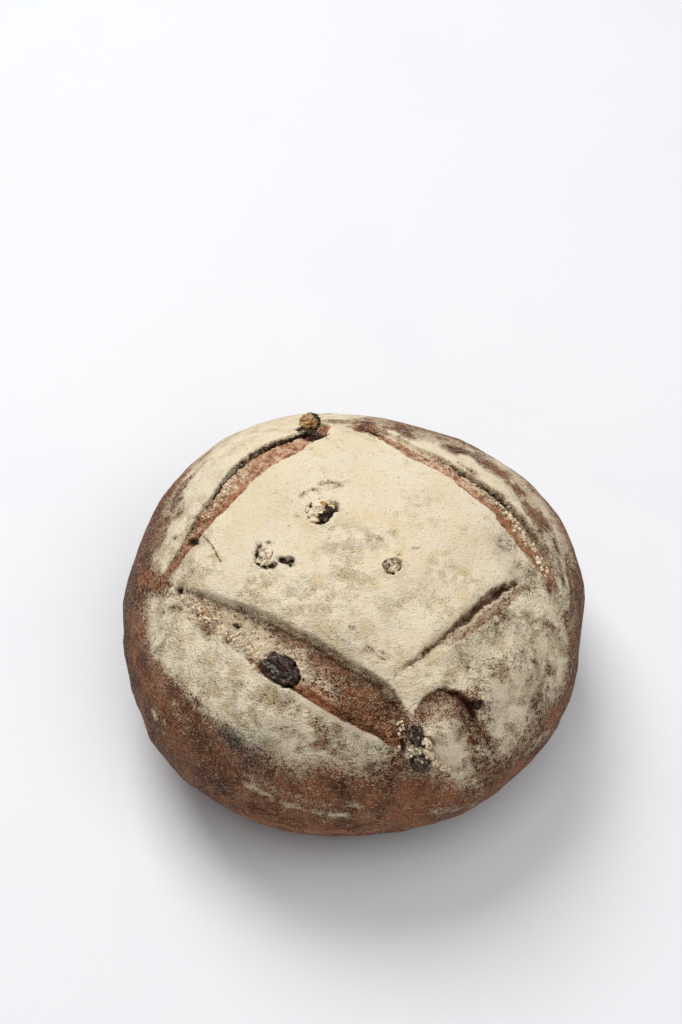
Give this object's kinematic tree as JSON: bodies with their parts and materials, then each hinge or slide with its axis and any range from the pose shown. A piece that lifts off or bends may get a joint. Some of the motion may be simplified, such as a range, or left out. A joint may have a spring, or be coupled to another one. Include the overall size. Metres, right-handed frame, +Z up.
{
  "type": "walnut raisin bread",
  "caption": "Round hearth loaf dusted with flour, four slashes forming a square on its crown, with walnut pieces and raisins breaking through the crust",
  "frame": {"origin": "middle of the flat base", "axes": "+Z up through the crown, +X to the viewer's right, -Y towards the viewer"},
  "size_m": [0.1862, 0.1841, 0.1012],
  "materials": {
    "crust": "matt, baked brown crust dusted with flour",
    "walnut": "matt, toasted nut",
    "raisin": "satin, wrinkled dried fruit"
  },
  "bodies": {
    "root": {"loaf": "crust", "walnut_crown": "walnut", "walnut_rim": "walnut", "walnut_chip": "walnut", "raisin_left": "raisin", "raisin_left_small": "raisin", "raisin_right": "raisin", "raisin_slash": "raisin", "raisin_low_upper": "raisin", "raisin_low_lower": "raisin", "raisin_tear": "raisin"}
  },
  "joints": []
}
